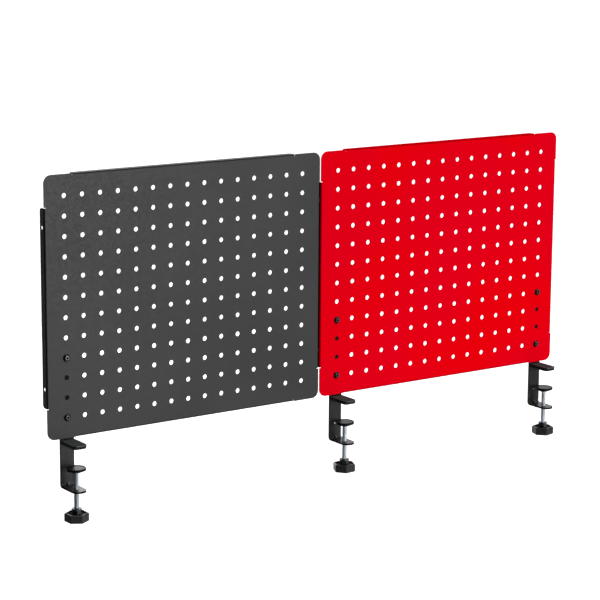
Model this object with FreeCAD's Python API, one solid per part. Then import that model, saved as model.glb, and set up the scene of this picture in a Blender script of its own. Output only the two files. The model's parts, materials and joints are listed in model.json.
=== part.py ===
import FreeCAD, Part
import math
import os

# Two perforated steel panels side by side, carried above a desk's rear edge by
# three screw clamps. Millimetres. +X runs along the panels to the right of
# someone at the desk, +Y away from them, +Z up. The origin is where the middle
# clamp's screw axis meets the underside of its upper jaw, which is the plane of
# the desk's top.

V = FreeCAD.Vector
X_AXIS = V(1, 0, 0)
Y_AXIS = V(0, 1, 0)
Z_AXIS = V(0, 0, 1)

# ---- Driving sizes: perforated panel ----
peg_pitch = 25.0
peg_columns = 15
peg_rows = 12
peg_hole_diameter = 6.2
side_margin = 27.5  # outermost column to the panel's side edge
end_margin = 26.25  # outermost row to the panel's top or bottom edge
sheet_thickness = 1.2
panel_corner_radius = 10.0
flange_depth = 11.0  # front face to the flange's rear edge
flange_setback = 40.0  # panel corner to the start of each flange
flange_corner_radius = 4.0
bend_inner_radius = 1.0
relief_slot_width = 1.0
relief_slot_past_bend = 0.2
side_hole_diameter = 5.0
side_hole_spacing = 200.0
side_hole_depth = 6.5  # front face to the hole's axis
panel_gap = 2.0
panel_above_desk = 6.75  # desk top to the panel's bottom edge

# ---- Driving sizes: clamp bracket ----
bar_width = 19.0
bar_thickness = 2.5
bar_bend_inner_radius = 2.0
screw_axis_reach = 21.2  # clamp screw's axis to the bar's front face
arm_reach_past_axis = 15.0
arm_drop = 53.0  # desk top to the arm's upper face
bar_above_upper_screw = 12.0
bar_top_corner_radius = 4.0
screw_rows_apart = 3  # the lower screw is in the panel's last row
bar_hole_drop = 33.5  # desk top to the small hole in the bar
bar_hole_diameter = 2.8
dart_leg = 4.0  # stiffening dart in the bend
dart_width = 4.5
dart_wall = 1.2

# ---- Driving sizes: upper jaw ----
jaw_thickness = 3.0
jaw_reach_past_axis = 14.0
jaw_corner_radius = 5.0
jaw_tenon_width = 10.0
jaw_pad_thickness = 1.7
jaw_pad_inset = 0.3
jaw_pad_edge_radius = 0.5

# ---- Driving sizes: clamp screw, cup and knob ----
rod_diameter = 6.0
cup_diameter = 25.0
cup_rim_height = 3.0
cup_cone_height = 3.0
cup_foot_diameter = 11.0
cup_rim_width = 1.4
cup_rim_edge = 0.4
cup_drop = 26.0  # desk top to the cup's rim, as stored
insert_thickness = 1.6
insert_below_rim = 0.4
insert_edge = 0.3
rivet_head_diameter = 7.2
rivet_head_height = 0.9
rivet_neck_diameter = 5.0
rivet_floor_thickness = 1.5
knob_across_flats = 27.0
knob_height = 10.5
knob_corner_radius = 2.0
knob_upper_bevel = 1.2
knob_lower_bevel = 0.8
knob_rim_width = 2.0  # around the dish in its upper face
knob_dish_depth = 1.6
knob_dish_corner_radius = 1.5
knob_floor = 2.0
knob_top_drop = 83.5  # desk top to the knob's rim, as stored

# ---- Driving sizes: fasteners ----
screw_diameter = 5.0
screw_length = 10.0
screw_head_diameter = 9.5
screw_head_height = 2.75
screw_head_flat_diameter = 5.0
screw_socket_flats = 3.0
screw_socket_depth = 1.6
screw_nut_across_flats = 8.0
screw_nut_height = 4.7
washer_diameter = 10.0
washer_thickness = 1.0
bar_screw_hole_diameter = 5.5
lock_nut_across_flats = 10.0
lock_nut_height = 7.6
lock_nut_collar_diameter = 12.6
lock_nut_collar_height = 1.8
lock_nut_edge = 0.3
nut_face_inset = 0.2  # round end face of a nut, inside its flats
nut_corner_angle = 30.0  # degrees
join_screw_diameter = 4.0
join_screw_length = 10.0
join_head_diameter = 7.0
join_head_height = 4.0
join_socket_flats = 3.0
join_socket_depth = 2.0
join_nut_across_flats = 7.0
join_nut_height = 3.2
join_spacer_diameter = 8.0

# ---- Clearances ----
running_clearance = 0.05  # radial, thread in its nut or tapped hole
swivel_clearance = 0.1  # radial, rivet neck and rod end in the cup
rivet_head_clearance = 0.3  # radial, rivet head in its pocket
rivet_play = 0.1  # along the axis, under the rivet's head
seat_clearance = 0.05  # radial, insert in the cup and rod in the knob
blind_end_clearance = 0.2

# ---- How cutters and edge picking work ----
overrun = 1.0  # a cutter starts and ends this far outside what it cuts
edge_pick_angle = 25.0  # degrees, most between an edge and the axis it follows
same_place = 0.01

# ---- Places that follow from the driving sizes ----
panel_width = (peg_columns - 1) * peg_pitch + 2 * side_margin
panel_height = (peg_rows - 1) * peg_pitch + 2 * end_margin
panel_step = panel_width + panel_gap
bend_outer_radius = bend_inner_radius + sheet_thickness

bar_front = screw_axis_reach
panel_front = bar_front - sheet_thickness
bar_rear = bar_front + bar_thickness
panel_bottom = panel_above_desk
panel_top = panel_bottom + panel_height

red_left_edge = -side_margin
grey_left_edge = red_left_edge - panel_step

lower_screw_row = peg_rows  # rows count down from 1 at the top
upper_screw_row = lower_screw_row - screw_rows_apart
last_column = (peg_columns - 1) * peg_pitch
clamp_places = {"left": -panel_step, "middle": 0.0, "right": last_column}
knob_turns = {"left": 31.0, "middle": 6.0, "right": 14.0}  # degrees, vertex from +X
nut_turns = {"left": 10.0, "middle": 22.0, "right": 7.0}

arm_top = -arm_drop
arm_bottom = arm_top - bar_thickness
jaw_bottom = jaw_pad_thickness
jaw_top = jaw_bottom + jaw_thickness
cup_rim_top = -cup_drop
cup_foot = cup_rim_top - cup_rim_height - cup_cone_height
insert_top = cup_rim_top - insert_below_rim
insert_bottom = insert_top - insert_thickness
rivet_head_top = insert_bottom - blind_end_clearance
rivet_head_bottom = rivet_head_top - rivet_head_height
rivet_pocket_floor = rivet_head_bottom - rivet_play
rod_shoulder = rivet_pocket_floor - rivet_floor_thickness
knob_top = -knob_top_drop
knob_bottom = knob_top - knob_height
dish_floor = knob_top - knob_dish_depth
rod_bottom = knob_bottom + knob_floor + blind_end_clearance
lock_nut_top = dish_floor + lock_nut_height


def row_height(row):
    """Height of a peg row's axis, rows counted down from 1 at the top."""
    return panel_top - end_margin - (row - 1) * peg_pitch


def box(x0, x1, y0, y1, z0, z1):
    """A box between two corners."""
    return Part.makeBox(x1 - x0, y1 - y0, z1 - z0, V(x0, y0, z0))


def cylinder(diameter, start, end):
    """A round bar of this diameter from one point to another."""
    along = end - start
    return Part.makeCylinder(diameter / 2, along.Length, start, along)


def hexagon(flats, start, end, turn):
    """A hexagonal bar, its first vertex turned this many degrees from its first cross axis."""
    along = end - start
    radius = flats / math.sqrt(3)
    place = FreeCAD.Placement(start, FreeCAD.Rotation(Z_AXIS, along))
    points = []
    for side in range(7):
        angle = math.radians(turn + 60 * side)
        points.append(place.multVec(V(radius * math.cos(angle), radius * math.sin(angle), 0)))
    return Part.Face(Part.makePolygon(points)).extrude(along)


def revolve(profile, x):
    """A closed outline of (radius, height) points turned about the vertical axis at x."""
    points = [V(x + radius, 0, height) for radius, height in profile]
    points.append(points[0])
    return Part.Face(Part.makePolygon(points)).revolve(V(x, 0, 0), Z_AXIS, 360)


def edges_along(shape, axis):
    """The shape's straight edges that run along this axis."""
    least_cosine = math.cos(math.radians(edge_pick_angle))
    edges = []
    for edge in shape.Edges:
        if abs(edge.tangentAt(edge.FirstParameter).dot(axis)) > least_cosine:
            edges.append(edge)
    return edges


def upright_edges_at(shape, y):
    """The shape's upright edges at this distance from the front."""
    return [edge for edge in edges_along(shape, Z_AXIS) if abs(edge.CenterOfMass.y - y) < same_place]


# ---- Panel ----


def rounded_sheet(x0, x1, z0, z1):
    """The flat sheet with its four corners rounded."""
    sheet = box(x0, x1, panel_front, bar_front, z0, z1)
    return sheet.makeFillet(panel_corner_radius, edges_along(sheet, Y_AXIS))


def edge_frame(along_start, along, outward):
    """A placement that takes local +X along an edge, local +Y to the rear and local +Z out."""
    rotation = FreeCAD.Rotation(along, Y_AXIS, outward, "XYZ")
    return FreeCAD.Placement(along_start, rotation)


def flange(length):
    """A bend and its flange in local axes: X along the edge, Y to the rear, Z out of the panel."""
    centre_y = bend_outer_radius
    centre_z = -bend_outer_radius
    half = math.sqrt(0.5)
    outer_mid = V(0, centre_y - half * bend_outer_radius, centre_z + half * bend_outer_radius)
    inner_mid = V(0, centre_y - half * bend_inner_radius, centre_z + half * bend_inner_radius)
    outer = Part.Arc(V(0, 0, centre_z), outer_mid, V(0, centre_y, 0)).toShape()
    inner_start = V(0, centre_y, -sheet_thickness)
    inner_end = V(0, sheet_thickness, centre_z)
    inner = Part.Arc(inner_start, inner_mid, inner_end).toShape()
    rear_outer = V(0, flange_depth, 0)
    rear_inner = V(0, flange_depth, -sheet_thickness)
    edges = [
        outer,
        Part.makeLine(V(0, centre_y, 0), rear_outer),
        Part.makeLine(rear_outer, rear_inner),
        Part.makeLine(rear_inner, inner_start),
        inner,
        Part.makeLine(inner_end, V(0, 0, centre_z)),
    ]
    solid = Part.Face(Part.Wire(edges)).extrude(V(length, 0, 0))
    return solid.makeFillet(flange_corner_radius, upright_edges_at(solid, flange_depth))


def edge_cut(length):
    """What is cut from the flat sheet for a bend: its strip and a round-ended relief slot at each end."""
    front = -overrun
    rear = sheet_thickness + overrun
    slot_end = -bend_outer_radius - relief_slot_past_bend
    strip = bend_outer_radius + overrun
    cut = Part.makeBox(length, rear - front, strip, V(0, front, -bend_outer_radius))
    for slot_start in (-relief_slot_width, length):
        middle = slot_start + relief_slot_width / 2
        corner = V(slot_start, front, slot_end)
        slot = Part.makeBox(relief_slot_width, rear - front, overrun - slot_end, corner)
        round_end = cylinder(relief_slot_width, V(middle, front, slot_end), V(middle, rear, slot_end))
        cut = cut.fuse([slot, round_end])
    return cut


def panel_edges(x0, x1):
    """Each edge as (placement, flange length): left, right, top and bottom."""
    side_length = panel_height - 2 * flange_setback
    end_length = panel_width - 2 * flange_setback
    low = panel_bottom + flange_setback
    high = panel_top - flange_setback
    near = x0 + flange_setback
    far = x1 - flange_setback
    return [
        (edge_frame(V(x0, panel_front, low), Z_AXIS, -X_AXIS), side_length),
        (edge_frame(V(x1, panel_front, high), -Z_AXIS, X_AXIS), side_length),
        (edge_frame(V(near, panel_front, panel_top), X_AXIS, Z_AXIS), end_length),
        (edge_frame(V(far, panel_front, panel_bottom), -X_AXIS, -Z_AXIS), end_length),
    ]


def side_hole_heights():
    """Heights of the two joining holes in each side flange."""
    middle = (panel_bottom + panel_top) / 2
    return [middle - side_hole_spacing / 2, middle + side_hole_spacing / 2]


def panel(x0):
    """One perforated panel whose left edge is at x0."""
    x1 = x0 + panel_width
    sheet = rounded_sheet(x0, x1, panel_bottom, panel_top)
    cuts = []
    flanges = []
    for place, length in panel_edges(x0, x1):
        cut = edge_cut(length)
        cut.Placement = place
        cuts.append(cut)
        rim = flange(length)
        rim.Placement = place
        flanges.append(rim)
    body = sheet.cut(cuts).fuse(flanges).removeSplitter()
    holes = []
    for row in range(1, peg_rows + 1):
        for column in range(peg_columns):
            x = x0 + side_margin + column * peg_pitch
            z = row_height(row)
            front = V(x, panel_front - overrun, z)
            rear = V(x, bar_front + overrun, z)
            holes.append(cylinder(peg_hole_diameter, front, rear))
    hole_y = panel_front + side_hole_depth
    for z in side_hole_heights():
        for near, far in ((x0, x0 + sheet_thickness), (x1 - sheet_thickness, x1)):
            start = V(near - overrun, hole_y, z)
            end = V(far + overrun, hole_y, z)
            holes.append(cylinder(side_hole_diameter, start, end))
    return body.cut(holes)


# ---- Clamp bracket and jaw ----


def tongue(x, y_rear, y_tip, z0, z1, corner_radius):
    """A flat tongue pointing forward, its two front corners rounded."""
    plate = box(x - bar_width / 2, x + bar_width / 2, y_tip, y_rear, z0, z1)
    return plate.makeFillet(corner_radius, upright_edges_at(plate, y_tip))


def bar_bend(x):
    """The quarter turn between the upright bar and its arm."""
    outer = bar_bend_inner_radius + bar_thickness
    centre = V(x - bar_width / 2, bar_front - bar_bend_inner_radius, arm_top + bar_bend_inner_radius)
    ring = Part.makeCylinder(outer, bar_width, centre, X_AXIS)
    ring = ring.cut(Part.makeCylinder(bar_bend_inner_radius, bar_width, centre, X_AXIS))
    quarter = box(centre.x, centre.x + bar_width, centre.y, centre.y + outer, centre.z - outer, centre.z)
    return ring.common(quarter)


def dart_prism(x, width, depth):
    """A round-crested prism under the line between the dart's two ends, this far below the crest."""
    down = V(0, 1, -1).normalize()
    along = V(0, -1, -1).normalize()
    crest_top = V(x, bar_front, arm_top + dart_leg)
    start = crest_top - along * dart_leg + down * (depth + width / 2)
    length = 4 * dart_leg  # far enough to pass both walls of the bend
    core = Part.makeCylinder(width / 2, length, start, along)
    frame = FreeCAD.Placement(start, FreeCAD.Rotation(V(1, 0, 0), down, along, "XYZ"))
    skirt = Part.makeBox(width, length, length, V(-width / 2, 0, 0))
    skirt.Placement = frame
    return core.fuse(skirt)


def bracket(x):
    """The steel bar of one clamp: upright behind the panel, bent forward under the desk."""
    outer = bar_bend_inner_radius + bar_thickness
    bar_top = row_height(upper_screw_row) + bar_above_upper_screw
    bend_centre_z = arm_top + bar_bend_inner_radius
    bend_centre_y = bar_front - bar_bend_inner_radius
    bar = box(x - bar_width / 2, x + bar_width / 2, bar_front, bar_rear, bend_centre_z, bar_top)
    crossing = edges_along(bar, Y_AXIS)
    top_corners = [edge for edge in crossing if edge.CenterOfMass.z > bar_top - same_place]
    bar = bar.makeFillet(bar_top_corner_radius, top_corners)
    tip_y = bar_width / 2 - arm_reach_past_axis
    arm = box(x - bar_width / 2, x + bar_width / 2, tip_y, bend_centre_y, arm_bottom, arm_top)
    tip = cylinder(bar_width, V(x, tip_y, arm_bottom), V(x, tip_y, arm_top))
    body = bar.fuse([bar_bend(x), arm, tip]).removeSplitter()

    left = x - dart_width
    right = x + dart_width
    block = box(left, right, 0, bar_rear, arm_bottom, 0)
    hollow = box(left, right, bend_centre_y, bar_rear, arm_bottom, bend_centre_z)
    bend_start = V(left, bend_centre_y, bend_centre_z)
    bend_round = Part.makeCylinder(outer, right - left, bend_start, X_AXIS)
    block = block.cut(hollow).fuse(bend_round.common(hollow))
    dart = dart_prism(x, dart_width, 0).common(block)
    dimple = dart_prism(x, dart_width - 2 * dart_wall, dart_wall)
    body = body.fuse(dart).removeSplitter().cut(dimple)

    front = bar_front - overrun
    rear = bar_rear + overrun
    cuts = [cylinder(bar_hole_diameter, V(x, front, -bar_hole_drop), V(x, rear, -bar_hole_drop))]
    for row in (upper_screw_row, lower_screw_row):
        z = row_height(row)
        cuts.append(cylinder(bar_screw_hole_diameter, V(x, front, z), V(x, rear, z)))
    half_tenon = jaw_tenon_width / 2
    cuts.append(box(x - half_tenon, x + half_tenon, front, rear, jaw_bottom, jaw_top))
    thread = rod_diameter + 2 * running_clearance
    cuts.append(cylinder(thread, V(x, 0, arm_bottom - overrun), V(x, 0, arm_top + overrun)))
    return body.cut(cuts)


def upper_jaw(x):
    """The jaw plate, its tenon through the bar and staked flush behind it."""
    plate = tongue(x, bar_front, -jaw_reach_past_axis, jaw_bottom, jaw_top, jaw_corner_radius)
    half_tenon = jaw_tenon_width / 2
    tenon = box(x - half_tenon, x + half_tenon, bar_front, bar_rear, jaw_bottom, jaw_top)
    return plate.fuse(tenon).removeSplitter()


def jaw_pad(x):
    """The thin anti-slip pad under the jaw, its lower edge eased."""
    rear = bar_front - jaw_pad_inset
    front = -jaw_reach_past_axis + jaw_pad_inset
    half = bar_width / 2 - jaw_pad_inset
    plate = box(x - half, x + half, front, rear, 0, jaw_pad_thickness)
    plate = plate.makeFillet(jaw_corner_radius - jaw_pad_inset, upright_edges_at(plate, front))
    low_edges = [edge for edge in plate.Edges if abs(edge.BoundBox.ZMax) < same_place]
    return plate.makeFillet(jaw_pad_edge_radius, low_edges)


# ---- Clamp screw, cup and knob ----


def clamp_screw(x):
    """The threaded rod as a plain bar, its upper end riveted over inside the cup."""
    rod = cylinder(rod_diameter, V(x, 0, rod_bottom), V(x, 0, rod_shoulder))
    neck = cylinder(rivet_neck_diameter, V(x, 0, rod_shoulder), V(x, 0, rivet_head_bottom))
    head = cylinder(rivet_head_diameter, V(x, 0, rivet_head_bottom), V(x, 0, rivet_head_top))
    return rod.fuse([neck, head]).removeSplitter()


def cup(x):
    """The pressure cup: a rim, a cone down to its foot, a seat for the insert and the rivet's pocket."""
    rim = cup_diameter / 2
    seat = rim - cup_rim_width
    pocket = rivet_head_diameter / 2 + rivet_head_clearance
    neck = rivet_neck_diameter / 2 + swivel_clearance
    socket = rod_diameter / 2 + swivel_clearance
    rim_low = cup_rim_top - cup_rim_height
    outline = [
        (socket, cup_foot),
        (cup_foot_diameter / 2, cup_foot),
        (rim, rim_low),
        (rim, cup_rim_top - cup_rim_edge),
        (rim - cup_rim_edge, cup_rim_top),
        (seat, cup_rim_top),
        (seat, insert_bottom),
        (pocket, insert_bottom),
        (pocket, rivet_pocket_floor),
        (neck, rivet_pocket_floor),
        (neck, rod_shoulder),
        (socket, rod_shoulder),
    ]
    return revolve(outline, x)


def insert(x):
    """The soft disc in the cup that presses on the desk's underside."""
    radius = cup_diameter / 2 - cup_rim_width - seat_clearance
    outline = [
        (0, insert_bottom),
        (radius, insert_bottom),
        (radius, insert_top - insert_edge),
        (radius - insert_edge, insert_top),
        (0, insert_top),
    ]
    return revolve(outline, x)


def rounded_hexagon(flats, corner_radius, start, end, turn):
    """A hexagonal bar with rounded corners."""
    body = hexagon(flats, start, end, turn)
    return body.makeFillet(corner_radius, edges_along(body, Z_AXIS))


def level_edges_at(shape, height):
    """The shape's edges that lie level at this height."""
    level = [edge for edge in shape.Edges if edge.BoundBox.ZLength < same_place]
    return [edge for edge in level if abs(edge.BoundBox.Center.z - height) < same_place]


def knob(x, turn):
    """The hexagonal knob: rounded corners, eased rims, a dish in its upper face and a blind bore."""
    low = V(x, 0, knob_bottom)
    high = V(x, 0, knob_top)
    above = V(x, 0, knob_top + overrun)
    body = rounded_hexagon(knob_across_flats, knob_corner_radius, low, high, turn)
    body = body.makeChamfer(knob_upper_bevel, level_edges_at(body, knob_top))
    body = body.makeChamfer(knob_lower_bevel, level_edges_at(body, knob_bottom))
    inside = knob_across_flats - 2 * knob_rim_width
    dish = rounded_hexagon(inside, knob_dish_corner_radius, V(x, 0, dish_floor), above, turn)
    bore = cylinder(rod_diameter + 2 * seat_clearance, V(x, 0, knob_bottom + knob_floor), above)
    return body.cut([dish, bore])


def turned_corners(flats, start, end):
    """The round bar with coned ends that takes a nut's corners off at both faces."""
    along = (end - start).normalize()
    length = (end - start).Length
    outside = flats / math.sqrt(3) + nut_face_inset
    face = flats / 2 - nut_face_inset
    cone = (outside - face) * math.tan(math.radians(nut_corner_angle))
    low = Part.makeCone(face, outside, cone, start, along)
    middle = Part.makeCylinder(outside, length - 2 * cone, start + along * cone, along)
    high = Part.makeCone(outside, face, cone, end - along * cone, along)
    return middle.fuse([low, high])


def hex_nut(flats, bore, start, end, turn):
    """A hexagonal nut with its corners turned off."""
    nut = hexagon(flats, start, end, turn).common(turned_corners(flats, start, end))
    past = (end - start).normalize() * overrun
    return nut.cut(cylinder(bore, start - past, end + past))


def lock_nut(x, turn):
    """The nut that locks the knob on the rod: it stands in the dish, with a round collar on top."""
    foot = V(x, 0, dish_floor)
    collar_foot = V(x, 0, lock_nut_top - lock_nut_collar_height)
    top = V(x, 0, lock_nut_top)
    collar = cylinder(lock_nut_collar_diameter, collar_foot, top)
    collar = collar.makeChamfer(lock_nut_edge, level_edges_at(collar, lock_nut_top))
    body = hexagon(lock_nut_across_flats, foot, collar_foot, turn).fuse(collar).removeSplitter()
    bore = rod_diameter + 2 * running_clearance
    return body.cut(cylinder(bore, foot - Z_AXIS * overrun, top + Z_AXIS * overrun))


# ---- Fasteners ----


def button_head(x, z):
    """A dome-headed screw with a flat crown and a hexagon socket, pointing to the rear."""
    face = V(x, panel_front - screw_head_height, z)
    seat = V(x, panel_front, z)
    rim = screw_head_diameter / 2
    crown = screw_head_flat_diameter / 2
    centre_depth = (rim ** 2 - crown ** 2 - screw_head_height ** 2) / (2 * screw_head_height)
    dome_radius = math.hypot(rim, centre_depth)
    dome = Part.makeSphere(dome_radius, seat + Y_AXIS * centre_depth)
    head = dome.common(cylinder(2 * dome_radius, face, seat))
    shank = cylinder(screw_diameter, seat, seat + Y_AXIS * screw_length)
    socket_start = face - Y_AXIS * overrun
    socket = hexagon(screw_socket_flats, socket_start, face + Y_AXIS * screw_socket_depth, 0)
    return head.fuse(shank).removeSplitter().cut(socket)


def panel_fasteners():
    """The screws, washers and nuts that fix each bar behind its panel."""
    screws = []
    washers = []
    nuts = []
    bore = screw_diameter + 2 * running_clearance
    washer_rear = bar_rear + washer_thickness
    for x in clamp_places.values():
        for row in (upper_screw_row, lower_screw_row):
            z = row_height(row)
            screws.append(button_head(x, z))
            ring = cylinder(washer_diameter, V(x, bar_rear, z), V(x, washer_rear, z))
            hole_start = V(x, bar_rear - overrun, z)
            hole_end = V(x, washer_rear + overrun, z)
            washers.append(ring.cut(cylinder(bar_screw_hole_diameter, hole_start, hole_end)))
            nut_start = V(x, washer_rear, z)
            nut_end = V(x, washer_rear + screw_nut_height, z)
            nuts.append(hex_nut(screw_nut_across_flats, bore, nut_start, nut_end, 0))
    return screws, washers, nuts


def joining_fasteners():
    """The screws, spacers and nuts that hold the two panels' side flanges together."""
    screws = []
    spacers = []
    nuts = []
    y = panel_front + side_hole_depth
    grey_right_edge = red_left_edge - panel_gap
    head_seat = grey_right_edge - sheet_thickness
    nut_seat = red_left_edge + sheet_thickness
    bore = join_screw_diameter + 2 * running_clearance
    for z in side_hole_heights():
        head = cylinder(join_head_diameter, V(head_seat - join_head_height, y, z), V(head_seat, y, z))
        shank = cylinder(join_screw_diameter, V(head_seat, y, z), V(head_seat + join_screw_length, y, z))
        socket_end = head_seat - join_head_height + join_socket_depth
        socket_start = head_seat - join_head_height - overrun
        socket = hexagon(join_socket_flats, V(socket_start, y, z), V(socket_end, y, z), 0)
        screws.append(head.fuse(shank).removeSplitter().cut(socket))
        ring = cylinder(join_spacer_diameter, V(grey_right_edge, y, z), V(red_left_edge, y, z))
        hole_start = V(grey_right_edge - overrun, y, z)
        hole_end = V(red_left_edge + overrun, y, z)
        spacers.append(ring.cut(cylinder(bore, hole_start, hole_end)))
        nut_end = V(nut_seat + join_nut_height, y, z)
        nuts.append(hex_nut(join_nut_across_flats, bore, V(nut_seat, y, z), nut_end, 0))
    return screws, spacers, nuts


def save(name, *solids):
    """Write one node's STEP file, a compound where the node has several solids."""
    shape = solids[0] if len(solids) == 1 else Part.makeCompound(list(solids))
    for solid in shape.Solids:
        if not solid.isValid():
            print("not valid:", name)
    print(name, "solids", len(shape.Solids), "volume", round(shape.Volume, 1))
    shape.exportStep("parts/" + name + ".step")


os.makedirs("parts", exist_ok=True)

save("grey_panel", panel(grey_left_edge))
save("red_panel", panel(red_left_edge))

panel_screws, panel_washers, panel_nuts = panel_fasteners()
save("panel_screws", *panel_screws)
save("panel_washers", *panel_washers)
save("panel_nuts", *panel_nuts)

join_screws, join_spacers, join_nuts = joining_fasteners()
save("joining_screws", *join_screws)
save("joining_spacers", *join_spacers)
save("joining_nuts", *join_nuts)

for side, place in clamp_places.items():
    save(side + "_bracket", bracket(place))
    save(side + "_upper_jaw", upper_jaw(place))
    save(side + "_jaw_pad", jaw_pad(place))
    save(side + "_pressure_cup", cup(place))
    save(side + "_cup_insert", insert(place))
    save(side + "_clamp_screw", clamp_screw(place))
    save(side + "_lock_nut", lock_nut(place, nut_turns[side]))
    save(side + "_knob", knob(place, knob_turns[side]))
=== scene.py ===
import json
import math

import bmesh
import bpy
import numpy as np
from mathutils import Matrix, Vector


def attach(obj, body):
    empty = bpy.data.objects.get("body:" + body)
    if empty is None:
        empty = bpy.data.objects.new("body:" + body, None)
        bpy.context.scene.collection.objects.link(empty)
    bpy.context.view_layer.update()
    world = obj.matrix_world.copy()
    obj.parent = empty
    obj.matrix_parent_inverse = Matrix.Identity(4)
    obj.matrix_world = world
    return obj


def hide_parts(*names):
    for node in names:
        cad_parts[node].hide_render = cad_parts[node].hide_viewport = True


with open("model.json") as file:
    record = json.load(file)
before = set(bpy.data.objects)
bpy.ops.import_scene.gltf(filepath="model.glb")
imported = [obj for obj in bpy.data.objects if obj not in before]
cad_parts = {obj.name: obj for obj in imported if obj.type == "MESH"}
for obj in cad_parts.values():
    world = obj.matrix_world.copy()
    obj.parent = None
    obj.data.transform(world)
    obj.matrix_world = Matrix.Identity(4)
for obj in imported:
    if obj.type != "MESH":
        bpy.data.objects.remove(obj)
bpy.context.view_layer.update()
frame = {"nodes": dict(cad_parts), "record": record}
nodes = frame["nodes"]

# ---- Sizes, in metres ----
CLAMPS = {"left": -0.407, "middle": 0.0, "right": 0.350}  # where each screw axis stands along X
ROD_LOW = -0.0918
ROD_SHOULDER = -0.0307
ROD_MAJOR = 0.0030
ROD_MINOR = 0.00268
ROD_PITCH = 0.0010
ROD_CHAMFER = 0.0005
NECK_RADIUS = 0.0025
NECK_LOW = ROD_SHOULDER - 0.0002  # a little inside the rod
RIVET_LOW = -0.0291
RIVET_TOP = -0.0282
RIVET_RADIUS = 0.0036
RIVET_EDGE = 0.0003
BAR_FRONT = 0.0212
ARM_TOP = -0.0530
JAW_TOP = 0.0047
PANEL_FRONT = 0.0200
KNOB_TOP = -0.0835
KNOB_DISH = KNOB_TOP - 0.0008
DISH_FADE = 0.0002
FLOOR_HEIGHT = -0.1165
FLOOR_HALF = 60.0
OBJECT_MIDDLE = Vector((-0.03, 0.02, 0.12))
SAME_POINT = 1e-7

# Heights or depths between which a mask comes in or goes out
LIP_IN = (JAW_TOP - 0.0017, JAW_TOP - 0.0007)
JAW_SHADE_IN = (0.0015, 0.0035)
JAW_SHADE_OUT = (0.0065, 0.0085)
BEHIND_PANEL_IN = (0.0075, 0.0080)
CUT_EDGE_OUT = (-0.0533, -0.0531)
DART_FACES_IN = (0.00025, 0.0005)
DART_SLOPE_IN = (0.0021, 0.0024)
SOCKET_IN = (PANEL_FRONT - 0.0022, PANEL_FRONT - 0.0018)
SOCKET_OUT = (PANEL_FRONT - 0.0001, PANEL_FRONT)

# One turn of the thread: share of the pitch, and height between the root at 0 and the crest at 1
THREAD_PROFILE = (
    (0.0, 1.0),
    (0.125, 1.0),
    (0.28, 0.52),
    (0.44, 0.06),
    (0.5625, 0.0),
    (0.685, 0.06),
    (0.84, 0.52),
)
TURNS_BELOW = 2
SPARE_TURNS = 3
CLOSING_RATE = 1.2
TURN_STEPS = 48


# ---- Surfaces ----


def mesh_object(name, points, faces):
    """A mesh from arrays of points and faces, doubles merged and faces turned outward."""
    mesh = bpy.data.meshes.new(name)
    mesh.from_pydata(points.tolist(), [], faces.tolist())
    shape = bmesh.new()
    shape.from_mesh(mesh)
    bmesh.ops.remove_doubles(shape, verts=shape.verts, dist=SAME_POINT)
    bmesh.ops.dissolve_degenerate(shape, dist=SAME_POINT, edges=shape.edges)
    bmesh.ops.recalc_face_normals(shape, faces=shape.faces)
    shape.to_mesh(mesh)
    shape.free()
    mesh.shade_smooth()
    piece = bpy.data.objects.new(name, mesh)
    bpy.context.scene.collection.objects.link(piece)
    return piece


def thread_surface(x, low, high, major, minor, pitch, chamfer):
    """Points and faces of a threaded rod. One long strip winds up the rod: at turn angle a, a row
    that is t whole turns and a share p of the pitch from the strip's start lies at height
    low + pitch * (t + p - TURNS_BELOW + a / full turn), so a row's end meets the row one turn
    higher. Its radius is minor + (major - minor) * h, with p and h from THREAD_PROFILE. Near each
    end the radius is cut down to a cone, major - chamfer + the distance from the end, and past the
    end to nothing, which closes the rod."""
    phase, crest = np.array(THREAD_PROFILE).T
    per_turn = len(phase)
    turns = math.ceil((high - low) / pitch) + SPARE_TURNS
    row = np.arange(turns * per_turn)
    rise = row // per_turn + phase[row % per_turn] - TURNS_BELOW
    angle = np.arange(TURN_STEPS) / TURN_STEPS
    z = low + pitch * (rise[:, None] + angle[None, :])
    winding = minor + (major - minor) * crest[row % per_turn]
    inside = np.minimum(z - low, high - z)
    end = major - chamfer
    cone = np.where(inside > 0, end + inside, end * (1 + inside / pitch * CLOSING_RATE))
    radius = np.clip(np.minimum(winding[:, None], cone), 0.0, major)
    z = np.clip(z, low, high)
    turn = 2 * np.pi * angle[None, :]
    points = np.stack([x + radius * np.cos(turn), radius * np.sin(turn), z], axis=-1)
    index = np.arange(len(row) * TURN_STEPS).reshape(len(row), TURN_STEPS)
    lower = index[: -per_turn - 1]
    upper = index[1:-per_turn]
    next_lower = np.concatenate([lower[:, 1:], index[per_turn:-1, :1]], axis=1)
    next_upper = np.concatenate([upper[:, 1:], index[per_turn + 1 :, :1]], axis=1)
    faces = np.stack([lower, next_lower, next_upper, upper], axis=-1).reshape(-1, 4)
    return points.reshape(-1, 3), faces


def turned_surface(x, profile):
    """Points and faces of a turned piece: each radius r and height z of its profile swept round the
    upright axis at x, to (x + r cos a, r sin a, z) at turn angle a."""
    radius, height = np.array(profile, float).T
    turn = 2 * np.pi * np.arange(TURN_STEPS) / TURN_STEPS
    points = np.stack(
        [
            x + radius[:, None] * np.cos(turn),
            radius[:, None] * np.sin(turn),
            np.repeat(height[:, None], TURN_STEPS, axis=1),
        ],
        axis=-1,
    )
    index = np.arange(len(radius) * TURN_STEPS).reshape(len(radius), TURN_STEPS)
    near = index[:-1]
    far = index[1:]
    faces = np.stack([near, np.roll(near, -1, 1), np.roll(far, -1, 1), far], axis=-1)
    return points.reshape(-1, 3), faces.reshape(-1, 4)


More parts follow.
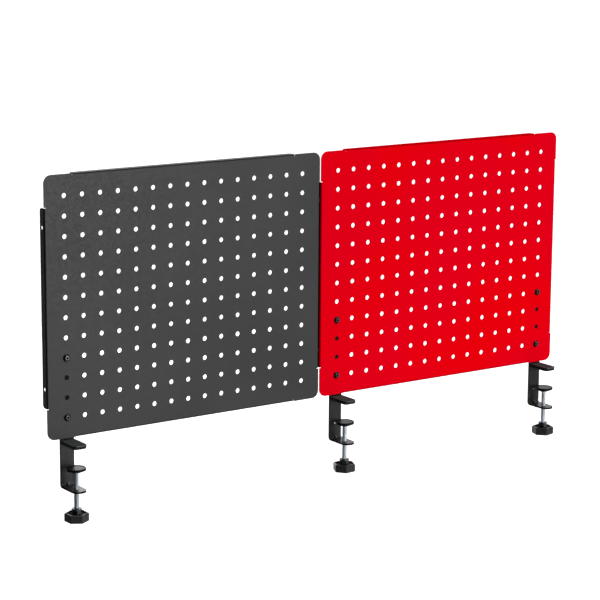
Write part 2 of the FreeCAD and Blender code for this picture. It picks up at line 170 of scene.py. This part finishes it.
def joined(*surfaces):
    """Several surfaces' points and faces as one pair of arrays."""
    points = np.concatenate([surface[0] for surface in surfaces])
    starts = np.cumsum([0] + [len(surface[0]) for surface in surfaces[:-1]])
    faces = np.concatenate([surface[1] + start for surface, start in zip(surfaces, starts)])
    return points, faces


# ---- Materials ----
MIX_FACTOR, MIX_FIRST, MIX_SECOND, MIX_RESULT = 0, 6, 7, 2  # a Mix node's sockets for colours


def grey(level):
    """A neutral colour."""
    return (level, level, level, 1)


def shaded(colour, share):
    """A colour with this share of its light."""
    return tuple(share * part for part in colour[:3]) + (1,)


# Painted shade: the near-black laid where shade falls
PAINTED_SHADE = grey(0.004)
# Painted shade on the bar seen through the panel's holes
BEHIND_PANEL_SHADE = grey(0.010)
# Painted shade on the faces of the arm's edge
ARM_EDGE_SHADE = grey(0.003)
# Painted shade in the screw sockets
SOCKET_SHADE = grey(0.002)
# Painted highlight on a jaw's front lip
LIP_HIGHLIGHT = grey(0.14)
# Painted highlight on the dart's right side
DART_HIGHLIGHT = grey(0.12)
DOME_BLACK = (0.006, 0.006, 0.0065, 1)
# Paler edges: rubbing, and painted edge highlights
RUBBED_AND_GLINTING_STEEL = (0.28, 0.28, 0.29, 1)
RUBBED_PLASTIC = (0.1, 0.1, 0.102, 1)

# Directions that a face looks along
FRONT = (0, -1, 0)
BACK = (0, 1, 0)
UP = (0, 0, 1)
LIP_FRONT = (0.2, -0.95, 0.25)
DART_RIGHT = (0.85, -0.5, 0.1)


class Finish:
    """A material under construction: its node tree, its shader and the object's own coordinates."""

    def __init__(self, name, **sockets):
        self.material = bpy.data.materials.new(name)
        self.material.use_nodes = True
        self.tree = self.material.node_tree
        self.shader = self.tree.nodes["Principled BSDF"]
        self.place = self.add("ShaderNodeTexCoord").outputs["Object"]
        for socket, value in sockets.items():
            self.shader.inputs[socket.replace("_", " ")].default_value = value

    def add(self, kind, settings=None, **inputs):
        """A node of this kind; inputs are values or other nodes' outputs."""
        made = self.tree.nodes.new(kind)
        for key, value in (settings or {}).items():
            setattr(made, key, value)
        for key, value in inputs.items():
            self.feed(made.inputs[key.replace("_", " ")], value)
        return made

    def feed(self, socket, value):
        """Links a node's output to a socket, or sets the socket to a value."""
        if isinstance(value, bpy.types.NodeSocket):
            self.tree.links.new(value, socket)
        else:
            socket.default_value = value

    def noise(self, scale, detail=2.0, stretch=(1, 1, 1), roughness=0.5):
        """Noise on the object's coordinates, cells of about 1 / scale metres."""
        place = self.place
        if stretch != (1, 1, 1):
            mapping = self.add("ShaderNodeMapping", Vector=place, Scale=stretch)
            place = mapping.outputs["Vector"]
        made = self.add(
            "ShaderNodeTexNoise", Vector=place, Scale=scale, Detail=detail, Roughness=roughness
        )
        return made.outputs["Fac"]

    def fit(self, value, low, high, to_low, to_high):
        """A value carried smoothly from one range to another, held at the ends."""
        made = self.add(
            "ShaderNodeMapRange",
            {"interpolation_type": "SMOOTHSTEP"},
            Value=value,
            From_Min=low,
            From_Max=high,
            To_Min=to_low,
            To_Max=to_high,
        )
        return made.outputs["Result"]

    def rising(self, value, low, high, top=1.0):
        """0 up to low and top from high on."""
        return self.fit(value, low, high, 0.0, top)

    def falling(self, value, low, high):
        """1 up to low and 0 from high on."""
        return self.fit(value, low, high, 1.0, 0.0)

    def axis(self, name):
        """The object's coordinate along one axis: Z is height above the desk top."""
        return self.add("ShaderNodeSeparateXYZ", Vector=self.place).outputs[name]

    def own_normal(self):
        return self.add("ShaderNodeNewGeometry").outputs["Normal"]

    def dot(self, first, second):
        """The scalar product of two directions."""
        made = self.add("ShaderNodeVectorMath", {"operation": "DOT_PRODUCT"})
        self.feed(made.inputs[0], first)
        self.feed(made.inputs[1], second)
        return made.outputs["Value"]

    def facing(self, looking):
        """How squarely the face looks along a direction: 1 straight on, 0 side on."""
        return self.dot(self.own_normal(), looking)

    def math(self, operation, first, second=0.0):
        made = self.add("ShaderNodeMath", {"operation": operation})
        self.feed(made.inputs[0], first)
        self.feed(made.inputs[1], second)
        return made.outputs[0]

    def both(self, first, second):
        """The product of two masks, or a mask weakened to a share."""
        return self.math("MULTIPLY", first, second)

    def either(self, first, second):
        return self.math("MAXIMUM", first, second)

    def blend(self, first, second, share):
        """This share of the first value and the rest of the second."""
        return self.math("ADD", self.both(first, share), self.both(second, 1 - share))

    def mix(self, factor, first, second):
        """A colour between two colours."""
        made = self.add("ShaderNodeMix", {"data_type": "RGBA"})
        self.feed(made.inputs[MIX_FACTOR], factor)
        self.feed(made.inputs[MIX_FIRST], first)
        self.feed(made.inputs[MIX_SECOND], second)
        return made.outputs[MIX_RESULT]

    def rounded(self, radius):
        """The normal of the shape with its edges rounded to this radius."""
        return self.add("ShaderNodeBevel", {"samples": 4}, Radius=radius).outputs["Normal"]

    def edges(self, radius):
        """1 near a sharp edge and 0 on a flat face: how far the rounded normal leaves the face's
        own."""
        agreement = self.dot(self.rounded(radius), self.own_normal())
        return self.fit(agreement, low=0.98, high=0.75, to_low=0.0, to_high=1.0)

    def hollows(self, reach, low, high):
        """1 in a recess this near to other surfaces, where shade falls, and 0 in the
        open."""
        made = self.add("ShaderNodeAmbientOcclusion", {"samples": 6}, Distance=reach)
        return self.falling(made.outputs["AO"], low, high)

    def bump(self, height, distance, strength=1.0, under=None):
        """The normal of a relief this deep, over another normal where one is given."""
        made = self.add("ShaderNodeBump", Height=height, Distance=distance, Strength=strength)
        if under is not None:
            self.tree.links.new(under, made.inputs["Normal"])
        return made.outputs["Normal"]

    def surface(self, colour, roughness, normal):
        """Joins the finished colour, roughness and normal to the shader."""
        self.feed(self.shader.inputs["Base Color"], colour)
        self.feed(self.shader.inputs["Roughness"], roughness)
        self.feed(self.shader.inputs["Normal"], normal)
        return self.material


def powder_coat(name, dark, light, edge_and_crown_tone, gloss, rough, edge=0.0005, fold_shade=0.0, painted_top_tone=None):
    """Baked powder paint: fine grain over a softer orange peel, slow drift of tone, another tone
    along the edges, and painted shade in the corners. On a folded sheet painted shade darkens the
    folds by the share given; a jaw gets the given paler tone painted on its level top for the light
    that falls there, and a painted highlight on its front lip."""
    coat = Finish(name, Specular_IOR_Level=gloss)
    grain = coat.noise(scale=1500, detail=3.0, roughness=0.6)
    peel = coat.noise(scale=330, detail=1.0)
    drift = coat.noise(scale=7)
    tone = coat.blend(drift, grain, share=0.75)
    colour = coat.mix(coat.rising(tone, 0.35, 0.65), dark, light)
    patches = coat.fit(coat.noise(scale=420), 0.35, 0.7, 0.35, 0.95)
    colour = coat.mix(coat.both(coat.edges(edge), patches), colour, edge_and_crown_tone)
    # Painted shade along the folds of the sheet
    if fold_shade:
        turned = coat.math("ABSOLUTE", coat.facing(BACK))
        shaded_fold = coat.both(coat.rising(turned, 0.1, 0.3, top=fold_shade), coat.falling(turned, 0.95, 0.995))
        colour = coat.mix(shaded_fold, colour, shaded(dark, 0.1))
    # Painted light on a jaw: a paler tone on its level top for the light that falls there, and a
    # painted highlight on its front lip
    if painted_top_tone:
        colour = coat.mix(coat.rising(coat.facing(UP), 0.8, 0.97), colour, painted_top_tone)
        front = coat.rising(coat.facing(LIP_FRONT), 0.75, 0.92)
        lip = coat.both(front, coat.rising(coat.axis("Z"), *LIP_IN, top=0.8))
        colour = coat.mix(lip, colour, LIP_HIGHLIGHT)
    # Painted shade in the corners
    deep = coat.both(coat.hollows(reach=0.004, low=0.3, high=0.8), 0.8)
    colour = coat.mix(deep, colour, shaded(dark, 0.15))
    roughness = coat.fit(peel, 0.3, 0.7, rough - 0.05, rough + 0.06)
    normal = coat.bump(peel, distance=0.00005, strength=0.35, under=coat.rounded(edge))
    normal = coat.bump(grain, distance=0.00003, strength=0.4, under=normal)
    return coat.surface(colour, roughness, normal)


def strip_coat(name, dark, light, gloss, rough):
    """Black paint on the clamp's steel strip: rolling marks show through it along the strip.
    Painted shade darkens its corners, the band above the jaw, the part behind the panel and the
    faces of the arm's cut edge; the stiffening dart has a painted highlight on its right and
    painted shade on its left."""
    coat = Finish(name, Specular_IOR_Level=gloss)
    grain = coat.noise(scale=1500, detail=3.0, roughness=0.6)
    marks = coat.noise(scale=900, stretch=(1, 1, 0.03))
    tone = coat.blend(marks, grain, share=0.75)
    colour = coat.mix(coat.rising(tone, 0.38, 0.62), dark, light)
    # Painted shade in the corners
    deep = coat.both(coat.hollows(reach=0.006, low=0.25, high=0.75), 0.85)
    colour = coat.mix(deep, colour, PAINTED_SHADE)
    height = coat.axis("Z")
    # Painted shade on the strip above the jaw, under the panel's edge
    shade_above_jaw = coat.both(
        coat.rising(height, *JAW_SHADE_IN, top=0.9), coat.falling(height, *JAW_SHADE_OUT)
    )
    colour = coat.mix(shade_above_jaw, colour, PAINTED_SHADE)
    # Painted shade on the bar where it shows through the panel's holes
    behind_panel = coat.both(
        coat.rising(height, *BEHIND_PANEL_IN), coat.rising(coat.facing(FRONT), 0.5, 0.8)
    )
    colour = coat.mix(behind_panel, colour, BEHIND_PANEL_SHADE)
    # Painted shade on the faces of the arm's edge
    level = coat.math("ABSOLUTE", coat.facing(UP))
    cut = coat.both(coat.falling(height, *CUT_EDGE_OUT), coat.falling(level, 0.3, 0.6))
    colour = coat.mix(coat.both(cut, 0.9), colour, ARM_EDGE_SHADE)
    # Painted highlight on the dart's right side and painted shade on its left
    forward = coat.math("SUBTRACT", BAR_FRONT, coat.axis("Y"))
    rise = coat.math("SUBTRACT", height, ARM_TOP)
    on_dart = coat.both(
        coat.rising(coat.math("MINIMUM", forward, rise), *DART_FACES_IN),
        coat.rising(coat.math("ADD", forward, rise), *DART_SLOPE_IN),
    )
    right_side = coat.rising(coat.facing(DART_RIGHT), 0.05, 0.35)
    colour = coat.mix(on_dart, colour, coat.mix(right_side, PAINTED_SHADE, DART_HIGHLIGHT))
    matt = coat.both(coat.either(cut, behind_panel), 0.9)
    roughness = coat.either(coat.fit(grain, 0.3, 0.7, rough - 0.05, rough + 0.06), matt)
    normal = coat.bump(marks, distance=0.00002, strength=0.3, under=coat.rounded(radius=0.0004))
    normal = coat.bump(grain, distance=0.00003, strength=0.4, under=normal)
    return coat.surface(colour, roughness, normal)


def coated_steel(name):
    """Black finish on screws, nuts and washers: black on the domes and flanks, a painted grey
    highlight on the faces that look forward or back, paler edges from rubbing and painted edge
    highlights, and matt with painted shade in the hollows and sockets."""
    coat = Finish(name, Metallic=0.25, Specular_IOR_Level=0.3)
    cloud = coat.noise(scale=500, detail=3.0)
    # Painted highlight: a greyer tone on the faces that look squarely forward or back
    edge_and_crown_tone = coat.mix(cloud, (0.06, 0.061, 0.063, 1), (0.12, 0.122, 0.125, 1))
    square = coat.math("ABSOLUTE", coat.facing(BACK))
    colour = coat.mix(coat.rising(square, 0.72, 0.93), DOME_BLACK, edge_and_crown_tone)
    # Paler edges: rubbing, and painted edge highlights
    patches = coat.fit(coat.noise(scale=900), 0.4, 0.65, 0.05, 0.5)
    colour = coat.mix(coat.both(coat.edges(radius=0.0003), patches), colour, RUBBED_AND_GLINTING_STEEL)
    # Painted shade in the sockets and hollows
    depth = coat.axis("Y")
    floor_face = coat.both(coat.falling(depth, *SOCKET_OUT), coat.rising(square, 0.85, 0.95))
    in_socket = coat.both(coat.rising(depth, *SOCKET_IN), floor_face)
    deep = coat.either(coat.hollows(reach=0.003, low=0.45, high=0.85), in_socket)
    colour = coat.mix(deep, colour, SOCKET_SHADE)
    roughness = coat.either(coat.fit(cloud, 0.3, 0.7, 0.2, 0.32), coat.both(deep, 0.85))
    return coat.surface(colour, roughness, coat.bump(cloud, distance=0.00002, strength=0.3))


def plated_steel(name, dulled, bright, rough):
    """Zinc on the clamp screws: cool silver with fine rolling marks and dull patches."""
    plate = Finish(name, Metallic=0.9)
    marks = plate.noise(scale=900, detail=3.0, stretch=(1, 1, 4))
    dull = plate.noise(scale=160)
    colour = plate.mix(dull, dulled, bright)
    roughness = plate.fit(plate.both(marks, dull), 0.1, 0.45, rough, rough + 0.1)
    return plate.surface(colour, roughness, plate.bump(marks, distance=0.00001, strength=0.4))


def moulded_plastic(name, dark, light, gloss, rough, dish_below=-1.0):
    """Black moulded plastic: spark-eroded grain, faint flow marks, corners rubbed smooth and a
    little paler, and dull painted shade in the hollows. Level faces lower than dish_below get dark
    painted shade and are dull."""
    plastic = Finish(name, Specular_IOR_Level=gloss)
    grain = plastic.noise(scale=2400, roughness=0.7)
    flow = plastic.noise(scale=60, stretch=(1, 1, 3))
    colour = plastic.mix(flow, dark, light)
    patches = plastic.fit(plastic.noise(scale=300), 0.35, 0.7, 0.1, 0.6)
    rub = plastic.both(plastic.edges(radius=0.0006), patches)
    colour = plastic.mix(rub, colour, RUBBED_PLASTIC)
    # Painted shade on the knob's dish floor and in the hollows
    dish = plastic.both(
        plastic.falling(plastic.axis("Z"), dish_below - DISH_FADE, dish_below),
        plastic.rising(plastic.facing(UP), 0.3, 0.6),
    )
    deep = plastic.either(plastic.hollows(reach=0.004, low=0.5, high=0.9), dish)
    colour = plastic.mix(deep, colour, PAINTED_SHADE)
    roughness = plastic.fit(grain, 0.3, 0.7, rough - 0.05, rough + 0.08)
    roughness = plastic.either(roughness, plastic.both(deep, 0.95))
    return plastic.surface(colour, roughness, plastic.bump(grain, distance=0.00002, strength=0.45))


def rubber(name, dark, light, gloss, rough):
    """Soft rubber: fine pits and a dusty bloom."""
    soft = Finish(name, Specular_IOR_Level=gloss)
    pits = soft.noise(scale=1900, roughness=0.7)
    bloom = soft.noise(scale=90, detail=3.0)
    colour = soft.mix(soft.rising(bloom, 0.35, 0.7), dark, light)
    roughness = soft.fit(pits, 0.3, 0.7, rough - 0.08, rough + 0.08)
    return soft.surface(colour, roughness, soft.bump(pits, distance=0.00004, strength=0.6))


finishes = {
    "grey_powder_coat": powder_coat(
        "grey powder coat",
        dark=(0.043, 0.043, 0.044, 1),
        light=(0.051, 0.051, 0.052, 1),
        edge_and_crown_tone=grey(0.022),
        gloss=0.18,
        rough=0.45,
        fold_shade=0.92,
    ),
    "red_powder_coat": powder_coat(
        "red powder coat",
        dark=(0.83, 0.0, 0.011, 1),
        light=(0.88, 0.0, 0.004, 1),
        edge_and_crown_tone=(0.5, 0.0, 0.003, 1),
        gloss=0.0,
        rough=0.5,
        fold_shade=0.45,
    ),
    "black_powder_coat": strip_coat(
        "black powder coat",
        dark=(0.026, 0.026, 0.027, 1),
        light=(0.037, 0.037, 0.038, 1),
        gloss=0.18,
        rough=0.34,
    ),
    "matt_black_coat": powder_coat(
        "matt black coat",
        dark=(0.017, 0.018, 0.019, 1),
        light=(0.027, 0.029, 0.030, 1),
        edge_and_crown_tone=grey(0.16),
        gloss=0.0,
        rough=0.5,
        edge=0.0012,
        painted_top_tone=(0.055, 0.060, 0.060, 1),
    ),
    "black_steel": coated_steel("black coated steel"),
    "zinc_steel": plated_steel(
        "bright zinc plate",
        dulled=(0.62, 0.69, 0.74, 1),
        bright=(0.74, 0.81, 0.86, 1),
        rough=0.56,
    ),
    # A darker copy of the zinc for the left screw only: painted shade
    "shaded_zinc": plated_steel(
        "shaded zinc plate",
        dulled=(0.44, 0.49, 0.53, 1),
        bright=(0.54, 0.59, 0.63, 1),
        rough=0.42,
    ),
    "black_plastic": moulded_plastic(
        "black moulded plastic",
        dark=(0.016, 0.016, 0.0165, 1),
        light=(0.026, 0.026, 0.027, 1),
        gloss=0.36,
        rough=0.34,
        dish_below=KNOB_DISH,
    ),
    "cup_plastic": moulded_plastic(
        "black cup plastic", dark=grey(0.003), light=grey(0.006), gloss=0.08, rough=0.4
    ),
    "black_nylon": moulded_plastic(
        "black nylon", dark=grey(0.016), light=grey(0.024), gloss=0.5, rough=0.5
    ),
    "black_rubber": rubber(
        "black rubber",
        dark=(0.012, 0.012, 0.013, 1),
        light=(0.022, 0.022, 0.023, 1),
        gloss=0.25,
        rough=0.8,
    ),
    "grey_rubber": rubber(
        "dark grey rubber",
        dark=grey(0.008),
        light=(0.013, 0.013, 0.014, 1),
        gloss=0.06,
        rough=0.34,
    ),
}

# Pieces whose finish isn't their slot's
own_finishes = {"upper_jaw": "matt_black_coat", "pressure_cup": "cup_plastic"}


def dress(piece, slot):
    """Gives a piece one finish in all its material slots."""
    piece.data.materials.clear()
    piece.data.materials.append(finishes[slot])


for subpart in frame["record"]["subparts"]:
    node = subpart["node"]
    form = node.partition("_")[2]
    dress(nodes[node], own_finishes.get(form, subpart["material_slot"]))

# ---- Clamp screws with their threads ----
rivet_profile = [
    (0.0, NECK_LOW),
    (NECK_RADIUS, NECK_LOW),
    (NECK_RADIUS, RIVET_LOW),
    (RIVET_RADIUS, RIVET_LOW),
    (RIVET_RADIUS, RIVET_TOP - RIVET_EDGE),
    (RIVET_RADIUS - RIVET_EDGE, RIVET_TOP),
    (0.0, RIVET_TOP),
]
for side, x in CLAMPS.items():
    rod = thread_surface(x, ROD_LOW, ROD_SHOULDER, ROD_MAJOR, ROD_MINOR, ROD_PITCH, ROD_CHAMFER)
    rivet = turned_surface(x, rivet_profile)
    screw = mesh_object(side + "_threaded_screw", *joined(rod, rivet))
    # The left screw gets the darker copy of the zinc, as painted shade
    dress(screw, "shaded_zinc" if side == "left" else "zinc_steel")
    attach(screw, side + "_screw")
    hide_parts(side + "_clamp_screw")


# ---- Floor, light and camera ----
FLOOR_GLOW = 0.75
ROOM_TINT = (0.97, 0.985, 1.0, 1)
SENSOR_WIDTH_MM = 36.0
NEAREST = 0.05
FARTHEST = 500.0

# Azimuth, elevation, inner and outer half-angle in degrees, and strength
BRIGHT_AREAS = [(145, 13, 16, 40, 1.4), (85, -5, 25, 60, 0.4)]


def direction(azimuth, elevation):
    """Unit vector towards a place round the object: azimuth 0 is -Y, 90 is +X."""
    a = math.radians(azimuth)
    e = math.radians(elevation)
    return Vector((math.sin(a) * math.cos(e), -math.cos(a) * math.cos(e), math.sin(e)))


def floor():
    """A pale sheet far wider than the view, lit from below like a studio table."""
    half = FLOOR_HALF
    corners = np.array([(-half, -half), (half, -half), (half, half), (-half, half)])
    points = np.column_stack([corners, np.full(4, FLOOR_HEIGHT)])
    piece = mesh_object("studio_floor", points, np.array([[0, 1, 2, 3]]))
    pale = Finish(
        "pale studio floor", Base_Color=grey(0.9), Roughness=0.9, Specular_IOR_Level=0.0
    )
    pale.shader.inputs["Emission Color"].default_value = grey(1)
    pale.shader.inputs["Emission Strength"].default_value = FLOOR_GLOW
    piece.data.materials.append(pale.material)
    piece.visible_diffuse = False
    piece.visible_glossy = False


def soft_box(name, place, width, height, power, seen_in_gloss=True):
    """A rectangular lamp at a place, facing the middle of the object; a well diffused one isn't
    seen in glossy pieces."""
    lamp = bpy.data.lights.new(name, "AREA")
    lamp.shape = "RECTANGLE"
    lamp.size = width
    lamp.size_y = height
    lamp.energy = power
    holder = bpy.data.objects.new(name, lamp)
    holder.visible_glossy = seen_in_gloss
    holder.location = place
    holder.rotation_euler = (Vector(place) - OBJECT_MIDDLE).to_track_quat("Z", "Y").to_euler()
    bpy.context.scene.collection.objects.link(holder)


def overhead(azimuth, elevation, spread, strength):
    """A wide, far lamp above."""
    lamp = bpy.data.lights.new("overhead light", "SUN")
    lamp.angle = math.radians(spread)
    lamp.energy = strength * math.pi
    holder = bpy.data.objects.new("overhead light", lamp)
    holder.rotation_euler = direction(azimuth, elevation).to_track_quat("Z", "Y").to_euler()
    bpy.context.scene.collection.objects.link(holder)


def surroundings(ambient, lobes):
    """The studio round the object: a dim room with soft bright areas, each (azimuth, elevation,
    inner and outer half-angle, strength). The camera itself sees plain white."""
    world = bpy.data.worlds.new("studio")
    bpy.context.scene.world = world
    world.use_nodes = True
    tree = world.node_tree
    tree.nodes.clear()
    link = tree.links.new
    looking = tree.nodes.new("ShaderNodeTexCoord").outputs["Generated"]
    total = None
    for azimuth, elevation, inner, outer, strength in lobes:
        dot = tree.nodes.new("ShaderNodeVectorMath")
        dot.operation = "DOT_PRODUCT"
        link(looking, dot.inputs[0])
        dot.inputs[1].default_value = direction(azimuth, elevation)
        ramp = tree.nodes.new("ShaderNodeMapRange")
        ramp.interpolation_type = "SMOOTHSTEP"
        link(dot.outputs["Value"], ramp.inputs["Value"])
        ramp.inputs["From Min"].default_value = math.cos(math.radians(outer))
        ramp.inputs["From Max"].default_value = math.cos(math.radians(inner))
        ramp.inputs["To Max"].default_value = strength
        if total is None:
            total = ramp.outputs["Result"]
        else:
            both = tree.nodes.new("ShaderNodeMath")
            link(total, both.inputs[0])
            link(ramp.outputs["Result"], both.inputs[1])
            total = both.outputs[0]
    level = tree.nodes.new("ShaderNodeMath")
    link(total, level.inputs[0])
    level.inputs[1].default_value = ambient
    room = tree.nodes.new("ShaderNodeBackground")
    room.inputs["Color"].default_value = ROOM_TINT
    link(level.outputs[0], room.inputs["Strength"])
    white = tree.nodes.new("ShaderNodeBackground")
    white.inputs["Color"].default_value = grey(1)
    rays = tree.nodes.new("ShaderNodeLightPath")
    choose = tree.nodes.new("ShaderNodeMixShader")
    link(rays.outputs["Is Camera Ray"], choose.inputs[0])
    link(room.outputs[0], choose.inputs[1])
    link(white.outputs[0], choose.inputs[2])
    link(choose.outputs[0], tree.nodes.new("ShaderNodeOutputWorld").inputs[0])


def camera(azimuth, elevation, roll, distance, target, lens):
    """A camera this far from its target, turned about its own axis by roll."""
    back = direction(azimuth, elevation)
    right = (-back).cross(Vector((0, 0, 1))).normalized()
    up = right.cross(-back)
    c = math.cos(math.radians(roll))
    s = math.sin(math.radians(roll))
    axes = Matrix((c * right + s * up, -s * right + c * up, back)).transposed()
    lens_block = bpy.data.cameras.new("camera")
    lens_block.lens = lens
    lens_block.sensor_width = SENSOR_WIDTH_MM
    lens_block.clip_start = NEAREST
    lens_block.clip_end = FARTHEST
    holder = bpy.data.objects.new("camera", lens_block)
    holder.matrix_world = Matrix.Translation(Vector(target) + back * distance) @ axes.to_4x4()
    bpy.context.scene.collection.objects.link(holder)
    bpy.context.scene.camera = holder


floor()
soft_box("key soft box", (0.59, -2.73, 0.05), width=1.3, height=1.3, power=78)
soft_box("side white card", (-0.9, -0.5, -0.22), width=0.45, height=0.6, power=0.3)
soft_box("table bounce", (0.3, -0.55, -0.45), width=0.9, height=0.4, power=0.7)
soft_box(
    "left-hand lamp", (-1.3, 0.75, 0.25), width=0.4, height=0.4, power=3.6, seen_in_gloss=False
)
soft_box("rear white card", (-0.15, 1.0, -0.32), width=0.92, height=0.5, power=1.5)
soft_box("rear upper card", (0.2, 1.0, 0.15), width=0.6, height=0.5, power=2.0)
overhead(azimuth=45, elevation=66, spread=44, strength=0.5)
surroundings(ambient=0.05, lobes=BRIGHT_AREAS)
camera(
    azimuth=-34.973,
    elevation=11.444,
    roll=0.3927,
    distance=2.82127,
    target=(-0.05992, 0.020, 0.14175),
    lens=129.509,
)
bpy.context.scene.view_settings.view_transform = "Standard"
